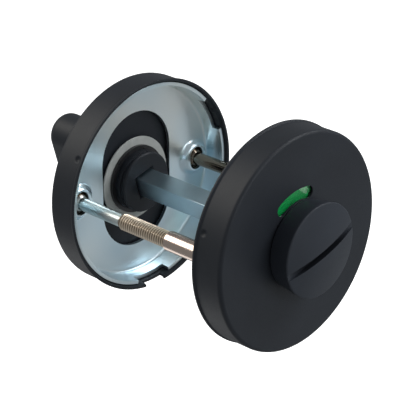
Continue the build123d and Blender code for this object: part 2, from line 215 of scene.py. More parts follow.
class Finishes(bpy.types.PropertyGroup):
    """Colours of the finishes, and the painted shade colours of the screws."""

    black: colour("Black coat", "Matt black powder coat", (0.0165, 0.0195, 0.0255))
    zinc: colour("Zinc", "Bright zinc plating", (0.67, 0.84, 0.93))
    zinc_tint: colour("Zinc tint", "Paler bloom in the plating", (0.87, 0.92, 0.91))
    shank: colour("Shank", "Plating of the screws' plain part", (0.66, 0.71, 0.69))
    # Painted shade: the right screw's plain part gets this dark brown copy of the shank plating,
    # for the shade it sits in; both screws are of one plating
    painted_shade_shank: colour("Oiled shank", "Plain part of the right screw", (0.24, 0.21, 0.17))
    brass_tint: colour("Screw tint", "Yellowish plating of the thread", (0.88, 0.75, 0.60))
    # Painted shade: the thread's grooves take this colour for the shade that falls in them, and
    # the sunk heads take a darker copy of it
    groove_shade: colour("Thread oil", "Oil in the thread's grooves", (0.20, 0.145, 0.10))
    nickel: colour("Nickel", "Nickel plating of the sleeves", (0.62, 0.50, 0.43))
    washer: colour("Washer", "Pale grey washer", (0.50, 0.51, 0.49))
    green: colour("Green", "Green sectors of the indicator", (0.0, 0.52, 0.11))
    red: colour("Red", "Red sectors of the indicator", (0.45, 0.01, 0.01))
    floor: colour("Floor", "Plain floor", (0.9, 0.9, 0.9))


# Outlines and sections

def bent(points, steps=6):
    """Closed section through (radius, y, bend) corners, with each bend as an arc."""
    line = []
    count = len(points)
    for index, (radius, y, bend) in enumerate(points):
        corner = Vector((radius, y))
        if bend < TINY:
            line.append(tuple(corner))
            continue
        before = (Vector(points[index - 1][:2]) - corner).normalized()
        after = (Vector(points[(index + 1) % count][:2]) - corner).normalized()
        half = before.angle(after) / 2
        centre = corner + (before + after).normalized() * bend / sin(half)
        start = corner + before * bend / tan(half) - centre
        end = corner + after * bend / tan(half) - centre
        turn = start.angle_signed(end)
        for step in range(steps + 1):
            line.append(tuple(centre + Matrix.Rotation(-turn * step / steps, 2) @ start))
    return line


def split_long(points, step, wanted):
    """Adds points to the closed section's long runs, where wanted(start, end) is true."""
    line = []
    for start, end in zip(points, points[1:] + points[:1]):
        line.append(start)
        reach = hypot(end[0] - start[0], end[1] - start[1])
        if not wanted(start, end):
            continue
        count = int(reach / step)
        for index in range(1, count):
            share = index / count
            line.append((
                start[0] + (end[0] - start[0]) * share,
                start[1] + (end[1] - start[1]) * share,
            ))
    return line


def round_angles(count, near=(), reach=0.0, finer=4):
    """Angles round a circle, with finer steps within reach of the angles in near."""
    angles = []
    for index in range(count):
        at = 2 * pi * index / count
        close = any(abs((at - place + pi) % (2 * pi) - pi) < reach for place in near)
        parts = finer if close else 1
        for part in range(parts):
            angles.append(at + 2 * pi / count * part / parts)
    return angles


def arc(radius, start, end, steps, centre=(0.0, 0.0)):
    """Points of an arc in the X and Z plane."""
    return [
        (
            centre[0] + radius * cos(start + (end - start) * step / steps),
            centre[1] + radius * sin(start + (end - start) * step / steps),
        )
        for step in range(steps + 1)
    ]


def stadium(long, wide, steps=24):
    """Outline with straight sides along Z and round ends."""
    reach = (long - wide) / 2
    return arc(wide / 2, 0, pi, steps, (0, reach)) + arc(wide / 2, pi, 2 * pi, steps, (0, -reach))


def arc_slot(radius, wide, start, end, steps=48):
    """Outline of a slot along an arc, with round ends inside the span from start to end."""
    close = wide / 2 / radius
    first = start + close
    last = end - close
    tip = (radius * cos(last), radius * sin(last))
    tail = (radius * cos(first), radius * sin(first))
    outline = arc(radius + wide / 2, first, last, steps)
    outline += arc(wide / 2, last, last + pi, 12, tip)[1:-1]
    outline += arc(radius - wide / 2, last, first, steps)
    outline += arc(wide / 2, first + pi, first + 2 * pi, 12, tail)[1:-1]
    return outline


def turned(outline, turn):
    """Outline turned anticlockwise, as seen from outside."""
    return [(x * cos(turn) - z * sin(turn), x * sin(turn) + z * cos(turn)) for x, z in outline]


def moved(outline, x):
    """Outline moved sideways."""
    return [(x + at_x, z) for at_x, z in outline]


def rectangle(half_x, half_z):
    """Outline of a rectangle round the origin."""
    return [(-half_x, -half_z), (half_x, -half_z), (half_x, half_z), (-half_x, half_z)]


def thirds(first, count=3):
    """Angles from the first on, a third of a turn apart."""
    return [first + 2 * pi / 3 * index for index in range(count)]


# Meshes

def new_piece(name, mesh):
    """An object from a bmesh, with outward faces."""
    bmesh.ops.remove_doubles(mesh, verts=mesh.verts, dist=TINY / 10)
    bmesh.ops.recalc_face_normals(mesh, faces=mesh.faces)
    data = bpy.data.meshes.new(name)
    mesh.to_mesh(data)
    mesh.free()
    piece = bpy.data.objects.new(name, data)
    bpy.context.scene.collection.objects.link(piece)
    return piece


def lathe(name, section, angles):
    """Round body about the Y axis from a closed (radius, y) section."""
    mesh = bmesh.new()
    rings = []
    for radius, y in section:
        if radius < TINY:
            rings.append([mesh.verts.new((0, y, 0))])
        else:
            rings.append([mesh.verts.new((radius * cos(a), y, radius * sin(a))) for a in angles])
    count = len(angles)
    for near, far in zip(rings, rings[1:] + rings[:1]):
        for index in range(count):
            after = (index + 1) % count
            corners = [
                near[index % len(near)],
                near[after % len(near)],
                far[after % len(far)],
                far[index % len(far)],
            ]
            corners = list(dict.fromkeys(corners))
            if len(corners) > 2:
                mesh.faces.new(corners)
    return new_piece(name, mesh)


def stack(name, layers):
    """Body through layers (outline, y) of equally many points, closed at both ends."""
    mesh = bmesh.new()
    rings = [[mesh.verts.new((x, y, z)) for x, z in outline] for outline, y in layers]
    count = len(rings[0])
    for near, far in zip(rings, rings[1:]):
        for index in range(count):
            after = (index + 1) % count
            mesh.faces.new((near[index], near[after], far[after], far[index]))
    mesh.faces.new(rings[0])
    mesh.faces.new(rings[-1])
    return new_piece(name, mesh)


def prism(name, outline, start, end):
    """Straight body along Y with an outline."""
    return stack(name, [(outline, start), (outline, end)])


def through(name, outline, middle, reach):
    """Cutter along Y that reaches as far to both sides of the middle."""
    return prism(name, outline, middle - reach, middle + reach)


def shift(piece, x):
    """Moves a mesh sideways."""
    for vertex in piece.data.vertices:
        vertex.co.x += x


def settle(piece):
    """Applies the modifiers to the mesh."""
    bpy.context.view_layer.update()
    shown = piece.evaluated_get(bpy.context.evaluated_depsgraph_get())
    data = bpy.data.meshes.new_from_object(shown)
    old = piece.data
    piece.modifiers.clear()
    piece.data = data
    bpy.data.meshes.remove(old)


def join_solids(piece, tools, operation):
    """Adds the tools to the piece or cuts them from it, and deletes them."""
    for tool in tools:
        step = piece.modifiers.new("solid", "BOOLEAN")
        step.operation = operation
        step.solver = "EXACT"
        step.object = tool
        settle(piece)
        if not piece.data.polygons:
            raise RuntimeError(f"{tool.name} left nothing of {piece.name}")
        data = tool.data
        bpy.data.objects.remove(tool)
        bpy.data.meshes.remove(data)
    return piece


def soften(piece, width, steps=2):
    """Rounds the piece's sharp edges a little."""
    step = piece.modifiers.new("edges", "BEVEL")
    step.width = width
    step.segments = steps
    step.limit_method = "ANGLE"
    step.angle_limit = EDGE_LIMIT
    step.use_clamp_overlap = True
    settle(piece)


def dress(piece, material, body, slot, *nodes):
    """Shades a finished piece, gives it its material and puts it in its CAD node's place."""
    for face in piece.data.polygons:
        face.use_smooth = True
    piece.data.set_sharp_from_angle(angle=SHADE_LIMIT)
    step = piece.modifiers.new("flats", "WEIGHTED_NORMAL")
    step.keep_sharp = True
    settle(piece)
    piece.data.materials.clear()
    piece.data.materials.append(material)
    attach(piece, body)
    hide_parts(*nodes)


# Materials

def node_material(name, metallic=0.0):
    """A material with its node tree, its shader and the object coordinate."""
    material = bpy.data.materials.get(name) or bpy.data.materials.new(name)
    material.use_nodes = True
    tree = material.node_tree
    tree.nodes.clear()
    output = tree.nodes.new("ShaderNodeOutputMaterial")
    shader = tree.nodes.new("ShaderNodeBsdfPrincipled")
    shader.inputs["Metallic"].default_value = metallic
    tree.links.new(shader.outputs["BSDF"], output.inputs["Surface"])
    place = tree.nodes.new("ShaderNodeTexCoord")
    return material, tree, shader, place.outputs["Object"]


def add_node(tree, kind, inputs, **settings):
    """A new node, with its inputs linked to sockets or set to plain values."""
    node = tree.nodes.new(kind)
    for key, value in settings.items():
        setattr(node, key, value)
    for key, value in inputs.items():
        if isinstance(value, bpy.types.NodeSocket):
            tree.links.new(value, node.inputs[key])
        else:
            node.inputs[key].default_value = value
    return node


def noise(tree, place, scale, detail, stretch=(1, 1, 1)):
    """A noise's value, with scale in waves per metre."""
    mapping = add_node(tree, "ShaderNodeMapping", {"Scale": stretch, "Vector": place})
    texture = add_node(tree, "ShaderNodeTexNoise", {
        "Scale": scale, "Detail": detail, "Vector": mapping.outputs["Vector"],
    })
    return texture.outputs["Fac"]


def span(tree, value, low, high, start=0.3, end=0.7):
    """Maps a value from start..end to low..high."""
    mapped = add_node(tree, "ShaderNodeMapRange", {
        "From Min": start, "From Max": end, "To Min": low, "To Max": high, "Value": value,
    })
    return mapped.outputs["Result"]


def maths(tree, operation, *values, kind="ShaderNodeMath"):
    """The number that a maths node gives, from sockets and plain values."""
    return add_node(tree, kind, dict(enumerate(values)), operation=operation).outputs["Value"]


def coordinates(tree, place):
    """The X, Y and Z sockets of a place."""
    return add_node(tree, "ShaderNodeSeparateXYZ", {"Vector": place}).outputs


def distance(tree, place, direction):
    """How far a place lies from the origin along a direction, on either side."""
    reach = maths(tree, "DOT_PRODUCT", place, direction, kind="ShaderNodeVectorMath")
    return maths(tree, "ABSOLUTE", reach)


def blend_colour(tree, share, first, second):
    """Mixes two colours by a share. The first may be a socket."""
    if not isinstance(first, bpy.types.NodeSocket):
        first = (*first, 1)
    mix = add_node(tree, "ShaderNodeMix", {
        "A": first, "B": (*second, 1), "Factor": share,
    }, data_type="RGBA")
    return mix.outputs["Result"]


def tint(tree, shader, cloud, first, second):
    """Colours the surface from the first colour to the second by a cloud."""
    tone = blend_colour(tree, span(tree, cloud, 0, 1), first, second)
    tree.links.new(tone, shader.inputs["Base Color"])


def roughen(tree, shader, grain, low, high):
    """Spreads the surface's roughness from low to high by a grain."""
    tree.links.new(span(tree, grain, low, high), shader.inputs["Roughness"])


def bump(tree, shader, height, strength, rise):
    """Raises the surface by a height texture."""
    node = add_node(tree, "ShaderNodeBump", {
        "Strength": strength, "Distance": rise, "Height": height,
    })
    tree.links.new(node.outputs["Normal"], shader.inputs["Normal"])


def scaled(value, share):
    """A colour made lighter or darker."""
    return tuple(min(1.0, part * share) for part in value)


def black_coat(name, colour_value):
    """Fine matt powder coat."""
    material, tree, shader, place = node_material(name)
    cloud = noise(tree, place, 90, 3)
    grain = noise(tree, place, 5200, 2)
    tint(tree, shader, cloud, scaled(colour_value, 0.9), scaled(colour_value, 1.12))
    roughen(tree, shader, grain, 0.48, 0.58)
    shader.inputs["Specular IOR Level"].default_value = COAT_SHINE
    bump(tree, shader, grain, 0.25, 0.02 * MM)
    return material


def slotted_coat(name, colour_value, half, floor, reach, turn):
    """Powder coat of the button, with painted shade in the deep middle of its coin slot."""
    material = black_coat(name, colour_value)
    tree = material.node_tree
    shader = tree.nodes["Principled BSDF"]
    coat = shader.inputs["Base Color"].links[0].from_socket
    place = tree.nodes.new("ShaderNodeTexCoord").outputs["Object"]
    across = distance(tree, place, (-sin(turn), 0, cos(turn)))
    along = distance(tree, place, (cos(turn), 0, sin(turn)))
    edge = 0.03 * MM
    between = span(tree, across, 1, 0, half, half + edge)
    under = span(tree, coordinates(tree, place)["Y"], 1, 0, floor, floor + edge)
    middle = span(tree, along, 1, 0, 0.5 * reach, 0.97 * reach)
    # Painted shade: the deep middle of the slot is coloured darker and made less shiny, for the
    # shade that falls in it
    deep = maths(tree, "MULTIPLY", maths(tree, "MULTIPLY", between, under), middle)
    tone = blend_colour(tree, deep, coat, scaled(colour_value, 0.3))
    tree.links.new(tone, shader.inputs["Base Color"])
    shine = span(tree, deep, COAT_SHINE, 0.12, 0, 1)
    tree.links.new(shine, shader.inputs["Specular IOR Level"])
    return material


def sheet_zinc(name, first, second):
    """Bright zinc on pressed sheet, with wide soft waves and a cloudy tint."""
    material, tree, shader, place = node_material(name, 1.0)
    cloud = noise(tree, place, 55, 1)
    waves = noise(tree, place, 38, 0)
    tint(tree, shader, cloud, first, second)
    roughen(tree, shader, cloud, CLEAN_ROUGHNESS, 0.35)
    bump(tree, shader, waves, 1.0, 1.2 * MM)
    return material


def plating(name, first, second, low, high, stretch=(1, 1, 1), cloud_scale=70):
    """Plated metal, with a cloudy tint and fine lines along the stretch."""
    material, tree, shader, place = node_material(name, 1.0)
    cloud = noise(tree, place, cloud_scale, 2)
    lines = noise(tree, place, 500, 2, stretch)
    tint(tree, shader, cloud, first, second)
    roughen(tree, shader, lines, low, high)
    bump(tree, shader, lines, 0.02, 0.01 * MM)
    return material


def thread_plating(name, shank, crest, groove, gloss, sizes):
    """Plated screw with a warmer thread, with painted shade in its grooves and on its sunk head.
    """
    material, tree, shader, place = node_material(name, 1.0)
    parts = coordinates(tree, place)
    off = maths(tree, "SUBTRACT", maths(tree, "ABSOLUTE", parts["X"]), sizes.pitch / 2)
    away = add_node(tree, "ShaderNodeCombineXYZ", {"X": off, "Z": parts["Z"]})
    radius = maths(tree, "LENGTH", away.outputs["Vector"], kind="ShaderNodeVectorMath")
    low = sizes.thread - sizes.thread_depth + 0.05 * MM
    high = sizes.thread - 0.08 * MM
    # Painted shade: the thread is coloured darker towards the root of its grooves, where shade
    # falls
    thread = blend_colour(tree, span(tree, radius, 0, 1, low, high), groove, crest)
    start = sizes.thread_start
    head = INSIDE_PLATE[1].y - sizes.head_shade
    edge = 0.1 * MM
    fade = 0.3 * MM
    plain = span(tree, parts["Y"], 0, 1, start - edge, start + edge)
    # Painted shade: below this depth the head is coloured near black, for the shade in the plate's
    # seat
    sunk = span(tree, parts["Y"], 0, 1, head - fade, head + fade)
    body = blend_colour(tree, plain, thread, shank)
    tone = blend_colour(tree, sunk, body, scaled(groove, 0.3))
    tree.links.new(tone, shader.inputs["Base Color"])
    lines = noise(tree, place, 700, 1, (1, 0.08, 1))
    roughen(tree, shader, lines, gloss, gloss + 0.08)
    bump(tree, shader, lines, 0.02, 0.01 * MM)
    return material


def moulding(name, colour_value, low, high):
    """Plain moulded plastic or oiled steel."""
    material, tree, shader, place = node_material(name)
    cloud = noise(tree, place, 400, 3)
    tint(tree, shader, cloud, scaled(colour_value, 0.9), scaled(colour_value, 1.1))
    roughen(tree, shader, cloud, low, high)
    bump(tree, shader, cloud, 0.1, 0.01 * MM)
    return material


def sector_print(name, green, red, turn):
    """Green and red quarters round the Y axis, with the green one over the window."""
    material, tree, shader, place = node_material(name)
    parts = coordinates(tree, place)
    around = maths(tree, "ARCTAN2", parts["Z"], parts["X"])
    wave = maths(tree, "COSINE", maths(tree, "MULTIPLY_ADD", around, 2.0, -2.0 * turn))
    edge = 0.01
    share = span(tree, wave, 0, 1, -edge, edge)
    tree.links.new(blend_colour(tree, share, red, green), shader.inputs["Base Color"])
    ink = noise(tree, place, 3000, 2)
    roughen(tree, shader, ink, 0.32, 0.42)
    bump(tree, shader, ink, 0.1, 0.01 * MM)
    return material


def clear_lens(name):
    """Clear moulded lens."""
    material, tree, shader, place = node_material(name)
    shader.inputs["Base Color"].default_value = (0.95, 1.0, 0.97, 1)
    shader.inputs["Transmission Weight"].default_value = 1.0
    shader.inputs["IOR"].default_value = 1.46
    haze = noise(tree, place, 1500, 2)
    roughen(tree, shader, haze, 0.04, 0.1)
    bump(tree, shader, haze, 0.05, 0.01 * MM)
    return material


# Pieces

def cover_section(side, rim, face, sizes):
    """Section of a cover from its neck hole over the wall and back."""
    wall = sizes.radius - sizes.flare
    inner = wall - sizes.sheet
    lip = 0.12 * MM
    high = rim + side * sizes.rim
    back = face - side * sizes.sheet
    return bent([
        (sizes.hole, face, 0),
        (wall, face, sizes.face_edge),
        (wall, high, 0.3 * MM),
        (sizes.radius, rim + side * sizes.rim / 2, 0.2 * MM),
        (sizes.radius, rim, lip),
        (sizes.radius - sizes.sheet, rim, lip),
        (inner, high, 0),
        (inner, back, sizes.face_edge - sizes.sheet / 2),
        (sizes.hole, back, 0),
    ])


def press_dimples(piece, places, height, reach, depth, radius):
    """Presses soft dimples into a round wall, at angles and one height."""
    for vertex in piece.data.vertices:
        x, y, z = vertex.co
        around = hypot(x, z)
        if around < radius - 2 * MM:
            continue
        for place in places:
            across = ((atan2(z, x) - place + pi) % (2 * pi) - pi) * radius
            away = hypot(across, y - height) / reach
            if away < 1:
                share = 1 - depth * (1 - away * away) ** 1.5 / around
                vertex.co.x = x * share
                vertex.co.z = z * share


def window_outline(scene, grow=0.0):
    """Outline of the window, made larger or smaller all round."""
    window = scene.lock_window
    middle = pi / 2 + scene.lock_rose.outside_turn
    half = window.span / 2 + grow / window.radius
    return arc_slot(window.radius, window.width + 2 * grow, middle - half, middle + half)


def make_cover(name, side, rim, face, turn, count, sizes, cutters):
    """A pressed cover with the first count of three dimples, cut by the cutters."""
    places = thirds(sizes.dimple_angle + turn, count)
    wall = sizes.radius - sizes.flare
    height = rim + side * sizes.dimple_height
    section = split_long(
        cover_section(side, rim, face, sizes),
        0.25 * MM,
        lambda start, end: abs(end[0] - start[0]) < LEVEL and abs(end[1] - start[1]) > MM,
    )
    cover = lathe(name, section, round_angles(ROSE_STEPS, places, radians(4.5)))
    press_dimples(cover, places, height, sizes.dimple_reach, sizes.dimple_depth, wall)
    join_solids(cover, cutters, "DIFFERENCE")
    soften(cover, 0.1 * MM)
    return cover


class LOCK_OT_inside_cover(bpy.types.Operator):
    """Model the inside rose's pressed cover."""

    bl_idname = "lock.inside_cover"
    bl_label = "Inside Cover"

    def execute(self, context):
        sizes = context.scene.lock_rose
        rim = INSIDE_COVER[0].y
        half = sizes.prise_width / 2
        low = -sizes.radius - PAST
        high = -sizes.radius + sizes.prise_reach
        outline = [(-half, low), (half, low), (half, high), (-half, high)]
        slot = prism("prising slot", outline, rim - PAST, rim + sizes.prise_depth)
        cover = make_cover("inside_cover_shell", 1, rim, INSIDE_COVER[1].y, 0, 2, sizes, [slot])
        material = black_coat("black coat", context.scene.lock_finish.black)
        dress(cover, material, "fixed", "black_coat", "inside_cover")
        return {"FINISHED"}


class LOCK_OT_outside_cover(bpy.types.Operator):
    """Model the outside rose's pressed cover with its window."""

    bl_idname = "lock.outside_cover"
    bl_label = "Outside Cover"

    def execute(self, context):
        sizes = context.scene.lock_rose
        face = OUTSIDE_COVER[0].y
        outline = window_outline(context.scene)
        slot = prism("window slot", outline, face - PAST, face + 2 * sizes.sheet)
        rim = OUTSIDE_COVER[1].y
        cover = make_cover(
            "outside_cover_shell", -1, rim, face, sizes.outside_turn, 3, sizes, [slot]
        )
        material = black_coat("black coat", context.scene.lock_finish.black)
        dress(cover, material, "fixed", "black_coat", "outside_cover")
        return {"FINISHED"}


def make_plate(name, side, lip, back, seated, context):
    """A pressed base plate; seated gives it cone seats for the screws."""
    sizes = context.scene.lock_plate
    bolts = context.scene.lock_bolts
    rose = context.scene.lock_rose
    outer = INSIDE_PLATE[1].x
    floor_radius = outer - sizes.taper
    floor = back - side * sizes.sheet
    section = bent([
        (0, floor, 0),
        (floor_radius - sizes.sheet, floor, sizes.bend),
        (outer - sizes.sheet, lip, 0.1 * MM),
        (outer, lip, 0.1 * MM),
        (floor_radius, back, sizes.bend + sizes.sheet),
        (0, back, 0),
    ])
    section = split_long(
        section, 0.4 * MM, lambda start, end: abs(end[1] - start[1]) < LEVEL and seated
    )
    plate = lathe(name, section, round_angles(ROSE_STEPS, (0, pi), radians(17), 2))
    if seated:
        press_seats(plate, side, floor, sizes, bolts)
    opening = stadium(sizes.opening_length, sizes.opening_width)
    cutters = [through("opening", opening, floor, 2 * PAST)]
    start = lip - side * PAST
    end = side * (INSIDE_COVER[0].y + sizes.notch_height)
    for middle in thirds(rose.dimple_angle):
        first = middle - sizes.notch_angle / 2
        last = middle + sizes.notch_angle / 2
        outline = arc(floor_radius - sizes.sheet, first, last, 12)
        outline += arc(rose.radius, last, first, 12)
        cutters.append(prism("notch", outline, min(start, end), max(start, end)))
    for place in (-bolts.pitch / 2, bolts.pitch / 2):
        if seated:
            hole = moved(stadium(sizes.hole_length, sizes.hole_width), place)
        else:
            hole = moved(arc(sizes.sleeve_hole, 0, 2 * pi, 32)[:-1], place)
        cutters.append(through("bolt hole", hole, floor, 3 * PAST))
    return join_solids(plate, cutters, "DIFFERENCE")


def press_seats(plate, side, floor, sizes, bolts):
    """Presses the screws' cone seats out of the floor, towards the door."""
    wall = 24 * MM
    for vertex in plate.data.vertices:
        x, y, z = vertex.co
        if abs(y - floor) > 1.5 * sizes.sheet or hypot(x, z) > wall:
            continue
        away = hypot(abs(x) - bolts.pitch / 2, z)
        share = (sizes.seat_radius - away) / (sizes.seat_radius - sizes.seat_end)
        share = max(0.0, min(1.0, share))
        vertex.co.y = y - side * sizes.seat_height * share * share * (3 - 2 * share)


class LOCK_OT_base_plates(bpy.types.Operator):
    """Model both roses' pressed base plates."""

    bl_idname = "lock.base_plates"
    bl_label = "Base Plates"

    def execute(self, context):
        colours = context.scene.lock_finish
        material = sheet_zinc("zinc plate", colours.zinc, colours.zinc_tint)
        inside = make_plate(
            "inside_plate_pan", 1, INSIDE_PLATE[0].y, INSIDE_PLATE[1].y, True, context
        )
        dress(inside, material, "fixed", "zinc_plate", "inside_base_plate")
        outside = make_plate(
            "outside_plate_pan", -1, OUTSIDE_PLATE[1].y, OUTSIDE_PLATE[0].y, False, context
        )
        dress(outside, material, "fixed", "zinc_plate", "outside_base_plate")
        return {"FINISHED"}


def thread_body(name, x, sizes):
    """A screw's free thread as one helical ridge."""
    start = LEFT_SLEEVE[1].y
    steps_round = 40
    steps_along = 12
    slope = 1.35
    root = 0.2
    turns = (sizes.thread_start - start) / sizes.thread_pitch
    rows = int(turns * steps_along)
    layers = []
    for row in range(rows + 1):
        y = start + (sizes.thread_start - start) * row / rows
        outline = []
        for step in range(steps_round):
            at = 2 * pi * step / steps_round
            phase = (y / sizes.thread_pitch - at / (2 * pi)) % 1
            ridge = min(1.0, max(0.0, slope * abs(2 * phase - 1) - root))
            fade = min(1.0, (sizes.thread_start - y) / sizes.thread_pitch)
            radius = sizes.thread - sizes.thread_depth * (1 - ridge * fade)
            outline.append((x + radius * cos(at), radius * sin(at)))
        layers.append((outline, y))
    return stack(name, layers)


def make_screw(name, x, sizes):
    """A screw: countersunk head, plain shank and thread."""
    top = LEFT_SCREW[1].y
    tip = LEFT_SCREW[0].y
    sleeve_end = LEFT_SLEEVE[1].y
    head = LEFT_SCREW[1].z
    rim = sizes.head_rim
    shank = lathe(name, bent([
        (0, top, 0),
        (head, top, 0.05 * MM),
        (head, top - rim, 0),
        (sizes.shank, top - rim - head + sizes.shank, 0.2 * MM),
        (sizes.shank, sleeve_end, 0),
        (sizes.mesh, sleeve_end, 0),
        (sizes.mesh, tip + sizes.tip_chamfer, 0),
        (sizes.mesh - sizes.tip_chamfer, tip, 0),
        (0, tip, 0),
    ]), round_angles(SCREW_STEPS))
    shift(shank, x)
    reach = sizes.cross_length / 2
    half = sizes.cross_width / 2
    for arm in (rectangle(reach, half), rectangle(half, reach)):
        cross = prism("cross", moved(arm, x), top - sizes.cross_depth, top + PAST)
        join_solids(shank, [cross], "DIFFERENCE")
    thread = thread_body(name + " thread", x, sizes)
    join_solids(shank, [thread], "UNION")
    return shank


class LOCK_OT_screws(bpy.types.Operator):
    """Model the two through screws with their threads."""

    bl_idname = "lock.screws"
    bl_label = "Screws"

    def execute(self, context):
        sizes = context.scene.lock_bolts
        colours = context.scene.lock_finish
        shanks = (
            (-1, "left", colours.shank, CLEAN_ROUGHNESS),
            # The right screw's shank is coloured with the painted shade copy of the plating
            (1, "right", colours.painted_shade_shank, 0.12),
        )
        for side, name, shank, gloss in shanks:
            material = thread_plating(
                name + " screw plating", shank, colours.brass_tint, colours.groove_shade, gloss, sizes
            )
            screw = make_screw(name + "_screw_body", side * sizes.pitch / 2, sizes)
            dress(screw, material, "fixed", "zinc_screw", name + "_screw")
        return {"FINISHED"}


class LOCK_OT_sleeves(bpy.types.Operator):
    """Model the two threaded sleeves of the outside rose."""

    bl_idname = "lock.sleeves"
    bl_label = "Sleeves"

    def execute(self, context):
        sizes = context.scene.lock_bolts
        start = LEFT_SLEEVE[1].y
        end = LEFT_SLEEVE[0].y
        shoulder = end + sizes.sleeve_head
        head = LEFT_SLEEVE[1].z
        outer = sizes.sleeve
        bore = sizes.sleeve_bore
        nickel = context.scene.lock_finish.nickel
        material = plating(
            "sleeve nickel", nickel, scaled(nickel, 0.9), 0.12, 0.22, (1, 0.1, 1), 200
        )
        for side, name in ((-1, "left"), (1, "right")):
            sleeve = lathe(name + "_sleeve_body", bent([
                (bore, start, 0.1 * MM),
                (outer - sizes.sleeve_chamfer, start, 0.08 * MM),
                (outer, start - sizes.sleeve_chamfer, 0.1 * MM),
                (outer, shoulder, 0),
                (head, shoulder, 0.1 * MM),
                (head, end, 0.25 * MM),
                (bore, end, 0.1 * MM),
            ]), round_angles(SLEEVE_STEPS))
            shift(sleeve, side * sizes.pitch / 2)
            dress(sleeve, material, "fixed", "nickel_sleeve", name + "_sleeve")
        return {"FINISHED"}


class LOCK_OT_spindle(bpy.types.Operator):
    """Model the square spindle."""

    bl_idname = "lock.spindle"
    bl_label = "Spindle"

    def execute(self, context):
        sizes = context.scene.lock_turn
        half = sizes.spindle / 2
        square = turned(rectangle(half, half), sizes.set_angle)
        spindle = prism("spindle_bar", square, SPINDLE[0].y, SPINDLE[1].y)
        soften(spindle, 0.22 * MM, 3)
        zinc = scaled(context.scene.lock_finish.zinc, 0.8)
        material = plating(
            "spindle zinc", zinc, scaled(zinc, 0.82), CLEAN_ROUGHNESS, 0.4, (1, 0.06, 1), 120
        )
        dress(spindle, material, "turning", "zinc_bar", "spindle")
        return {"FINISHED"}


def neck_section(side, end, clip, shoulder, sizes):
    """Section corners of a neck, from its end past the circlip's groove to its shoulder."""
    neck = sizes.neck
    chamfer = 0.3 * MM
    bend = 0.06 * MM
    near = end + side * sizes.end_groove_setback
    far = near + side * sizes.end_groove_width
    shallow = neck - sizes.end_groove
    deep = neck - sizes.groove
    clip_near, clip_far = clip
    return [
        (0, end, 0),
        (neck - chamfer, end, 0.05 * MM),
        (neck, end + side * chamfer, 0.1 * MM),
        (neck, near, bend),
        (shallow, near, bend),
        (shallow, far, bend),
        (neck, far, bend),
        (neck, clip_near, 0),
        (deep, clip_near, 0),
        (deep, clip_far, 0),
        (neck, clip_far, 0),
        (neck, shoulder, 0),
    ]


def socket_cutters(side, end, depth, sizes):
    """Cutters for a square socket with a chamfered mouth."""
    half = sizes.socket / 2
    chamfer = sizes.socket_chamfer
    past = 0.2 * MM
    under = 0.02 * MM
    wide = half + chamfer + past
    small = half - under
    layers = [
        (rectangle(wide, wide), end - side * past),
        (rectangle(small, small), end + side * (chamfer + under)),
    ]
    square = turned(rectangle(half, half), sizes.set_angle)
    hole = prism("socket", square, end - side * PAST, end + side * depth)
    mouth = stack("mouth", [(turned(outline, sizes.set_angle), y) for outline, y in layers])
    return [hole, mouth]


class LOCK_OT_thumb_turn(bpy.types.Operator):
    """Model the thumb turn with its neck, collar and bar."""

    bl_idname = "lock.thumb_turn"
    bl_label = "Thumb Turn"

    def execute(self, context):
        sizes = context.scene.lock_turn
        end = THUMB_TURN[0].y
        far = THUMB_TURN[1].y
        collar = INSIDE_COVER[1].y + sizes.gap
        top = collar + sizes.collar_height
        clip = (TURN_CLIP[0].y, TURN_CLIP[1].y)
        turn = lathe("thumb_turn_body", bent([
            *neck_section(1, end, clip, collar, sizes),
            (sizes.collar, collar, 0.15 * MM),
            (sizes.collar, top, 0.4 * MM),
            (0, top, 0),
        ]), round_angles(NECK_STEPS))
        sunk = top - 0.5 * MM
        end_steps = 40
        outlines = [(stadium(sizes.bar_length, sizes.bar_width, end_steps), sunk)]
        steps = 10
        for step in range(steps + 1):
            at = pi / 2 * step / steps
            inset = 2 * sizes.bar_edge * (1 - cos(at))
            y = far - sizes.bar_edge * (1 - sin(at))
            outline = stadium(sizes.bar_length - inset, sizes.bar_width - inset, end_steps)
            outlines.append((outline, y))
        bar = stack("bar", [(turned(outline, sizes.set_angle), y) for outline, y in outlines])
        join_solids(turn, [bar], "UNION")
        join_solids(turn, socket_cutters(1, end, sizes.turn_socket, sizes), "DIFFERENCE")
        soften(turn, 0.15 * MM)
        material = black_coat("black coat", context.scene.lock_finish.black)
        dress(turn, material, "turning", "black_coat", "thumb_turn")
        return {"FINISHED"}


